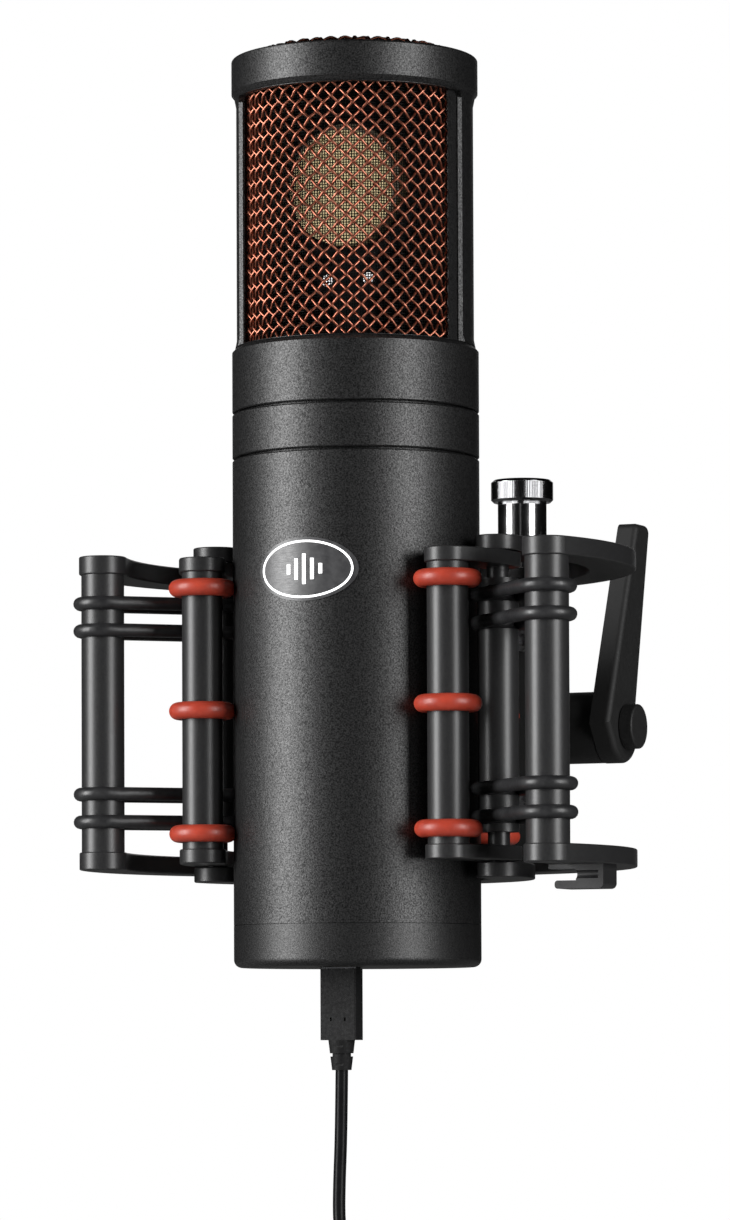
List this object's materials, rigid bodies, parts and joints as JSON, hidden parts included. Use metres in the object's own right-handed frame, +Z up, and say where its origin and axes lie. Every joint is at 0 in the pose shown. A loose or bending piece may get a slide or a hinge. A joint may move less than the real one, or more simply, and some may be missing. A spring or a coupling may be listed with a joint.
{
  "type": "condenser microphone",
  "caption": "Side-address USB condenser microphone with a copper wire head, held by rubber-ringed posts in an elastic shock mount on a tilting stand adapter.",
  "frame": {"origin": "centre of the stand adapter's socket at its mouth", "axes": "+Z up along the microphone, -Y the way the badge faces, +X the side of the clamp lever"},
  "size_m": [0.1244, 0.1407, 0.3697],
  "materials": {
    "mic_paint": "fine-grained matt black paint",
    "mount_metal": "satin black anodised metal",
    "swivel_black": "matt black coated metal",
    "copper_mesh": "bright copper wire cloth",
    "fine_mesh": "fine black wire cloth",
    "badge": "polished outline on black",
    "capsule_gold": "gold-sputtered membrane",
    "dark_plastic": "moulded",
    "steel": "turned",
    "circuit_board": "solder mask",
    "chrome": "polished chrome",
    "red_rubber": "satin silicone",
    "black_rubber": "satin rubber",
    "plug_plastic": "moulded",
    "cord_jacket": "smooth jacket",
    "tie_fabric": "hook-and-loop"
  },
  "bodies": {
    "stand_adapter": {"stand_adapter": "swivel_black"},
    "lock_screw": {"lock_screw": "chrome"},
    "outer_frame": {"outer_plate_top": "mount_metal", "outer_plate_bottom": "mount_metal", "outer_post_left": "mount_metal", "outer_post_right": "mount_metal", "rear_bracket": "swivel_black", "bracket_screws": "steel", "tilt_fork": "swivel_black", "pivot_barrel": "swivel_black", "pivot_bolt": "swivel_black", "pivot_nut": "steel", "cable_clip": "mount_metal", "outer_screws": "steel", "bands_lower_left": "black_rubber", "bands_lower_right": "black_rubber", "bands_upper_left": "black_rubber", "bands_upper_right": "black_rubber"},
    "clamp_lever": {"clamp_lever": "swivel_black"},
    "cradle": {"inner_plate_top": "mount_metal", "inner_plate_bottom": "mount_metal", "inner_post_left": "mount_metal", "inner_post_right": "mount_metal", "rear_grip_post_left": "mount_metal", "rear_grip_post_right": "mount_metal", "rear_grip_rings_left": "red_rubber", "rear_grip_rings_right": "red_rubber", "inner_screws": "steel"},
    "grip_left": {"grip_arm_top_left": "mount_metal", "grip_arm_bottom_left": "mount_metal", "grip_post_left": "mount_metal", "grip_rings_left": "red_rubber"},
    "grip_right": {"grip_arm_top_right": "mount_metal", "grip_arm_bottom_right": "mount_metal", "grip_post_right": "mount_metal", "grip_rings_right": "red_rubber"},
    "microphone": {"bottom_cap": "mic_paint", "body_tube": "mic_paint", "band_ring": "mic_paint", "head_frame": "mic_paint", "head_mesh": "copper_mesh", "mesh_top": "copper_mesh", "fine_mesh": "fine_mesh", "emblem_badge": "badge", "capsule_front": "capsule_gold", "capsule_rear": "capsule_gold", "capsule_spacer": "dark_plastic", "capsule_terminals": "capsule_gold", "capsule_saddle": "dark_plastic", "saddle_screws": "steel", "main_board": "circuit_board", "chassis_rails": "steel", "usb_socket": "steel"},
    "usb_lead": {"plug_shell": "steel", "usb_plug": "plug_plastic", "usb_cable": "cord_jacket", "cable_coil": "cord_jacket", "coil_tie": "tie_fabric", "far_plug": "plug_plastic", "far_plug_shell": "steel"}
  },
  "joints": [
    {"name": "tilt", "type": "hinge", "parent": "stand_adapter", "child": "outer_frame", "pos_m": [0, 0.0097, 0.0319], "axis": [1, 0, 0], "range_deg": [-30, 15]},
    {"name": "lock_screw_turn", "type": "hinge", "parent": "stand_adapter", "child": "lock_screw", "pos_m": [0, 0.0097, 0.074], "axis": [0, 0, 1], "range_deg": [0, 300]},
    {"name": "lever_release", "type": "hinge", "parent": "outer_frame", "child": "clamp_lever", "pos_m": [0, 0.0097, 0.0319], "axis": [1, 0, 0], "range_deg": [-90, 0]},
    {"name": "suspension", "type": "slide", "parent": "outer_frame", "child": "cradle", "axis": [0, 0, 1], "range_m": [-0.004, 0.004], "stiffness_N_per_m": 4000, "springref_m": 0.0024, "deforming": ["bands_lower_left", "bands_lower_right", "bands_upper_left", "bands_upper_right"]},
    {"name": "grip_left_swing", "type": "hinge", "parent": "cradle", "child": "grip_left", "pos_m": [-0.0344, -0.0874, 0.031], "axis": [0, 0, -1], "range_deg": [0, 8]},
    {"name": "grip_right_swing", "type": "hinge", "parent": "cradle", "child": "grip_right", "pos_m": [0.0344, -0.0874, 0.031], "axis": [0, 0, 1], "range_deg": [0, 8]},
    {"name": "microphone_lift_out", "type": "slide", "parent": "cradle", "child": "microphone", "axis": [0, 0, 1], "range_m": [0, 0.1]},
    {"name": "usb_unplug", "type": "slide", "parent": "microphone", "child": "usb_lead", "axis": [0, 0, -1], "range_m": [0, 0.03]}
  ]
}
